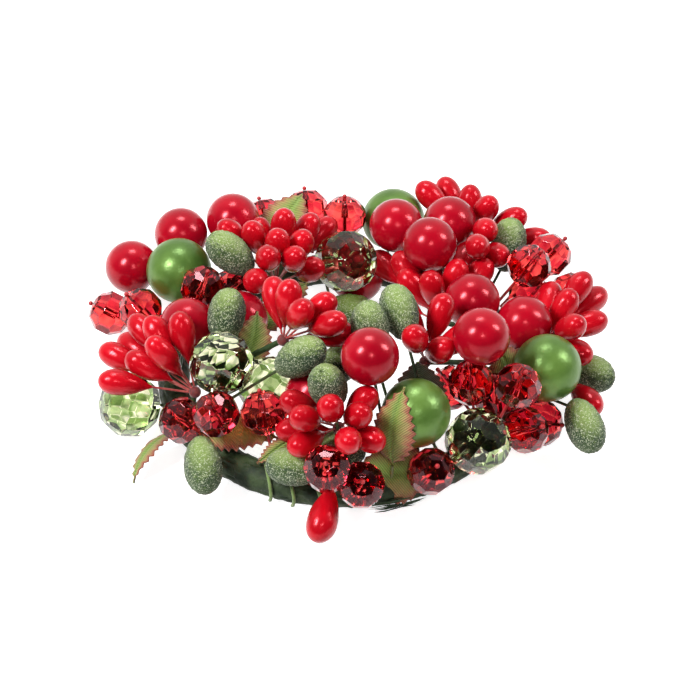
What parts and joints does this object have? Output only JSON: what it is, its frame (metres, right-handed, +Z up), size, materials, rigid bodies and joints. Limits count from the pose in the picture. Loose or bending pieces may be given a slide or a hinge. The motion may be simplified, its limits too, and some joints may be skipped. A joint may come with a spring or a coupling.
{
  "type": "candle ring",
  "caption": "Taped wire hoop dressed with glossy berries, pearl balls, faceted beads and crystals, sugared buds, pips on threads and fabric leaves, open in the middle for a candle.",
  "frame": {"origin": "on the surface it stands on, at the middle of the hoop", "axes": "+Z up; +X to the right and -Y towards the viewer of the picture"},
  "size_m": [0.1249, 0.1144, 0.0418],
  "materials": {
    "hoop_steel": "dull",
    "stem": "matte",
    "tape": "matte, creped",
    "tape_end": "matte, frayed",
    "thread": "matte",
    "stalk": "matte",
    "wire": "satin",
    "bead_wire": "satin",
    "berry": "high gloss",
    "pearl": "pearlescent satin",
    "crystal": "faceted, clear green",
    "bead": "faceted, clear red",
    "bud": "sugared, sparkling",
    "pip": "high gloss",
    "leaf": "woven, rust brown edges"
  },
  "bodies": {
    "root": {"hoop_wire": "hoop_steel", "stem_bundle": "stem", "tape_wrap": "tape", "tape_tail": "tape_end", "binding_thread": "thread", "pip_stalks": "stalk", "berry_wires": "wire", "pearl_wires": "wire", "bead_wires": "bead_wire", "crystal_wires": "wire", "bud_wires": "wire", "leaf_wires": "wire", "berries_left": "berry", "berries_left_low": "berry", "berries_back": "berry", "berry_back_inner": "berry", "berries_right": "berry", "berries_front": "berry", "pearl_left": "pearl", "pearl_back": "pearl", "pearl_front": "pearl", "pearl_right": "pearl", "crystal_left": "crystal", "crystal_left_inner": "crystal", "crystal_back": "crystal", "crystal_front_inner": "crystal", "crystal_right_front": "crystal", "beads_left": "bead", "beads_left_inner": "bead", "beads_back": "bead", "beads_right_back": "bead", "beads_front_left": "bead", "beads_right": "bead", "beads_front": "bead", "buds_left_inner": "bud", "buds_middle": "bud", "bud_back_low": "bud", "buds_front_left": "bud", "buds_right": "bud", "pips_left": "pip", "pips_left_back": "pip", "pips_middle": "pip", "pips_right_back": "pip", "pips_right_inner": "pip", "pips_middle_right": "pip", "pips_right": "pip", "pips_front": "pip", "pip_right_low": "pip", "pip_hanging": "pip", "leaf_left_low": "leaf", "leaf_left_inner": "leaf", "leaf_middle": "leaf", "leaf_front_left": "leaf", "leaf_front_low": "leaf", "leaf_back": "leaf", "leaf_pearl_back": "leaf", "leaf_pearl_left": "leaf", "leaf_front": "leaf", "leaf_right": "leaf"}
  },
  "joints": []
}
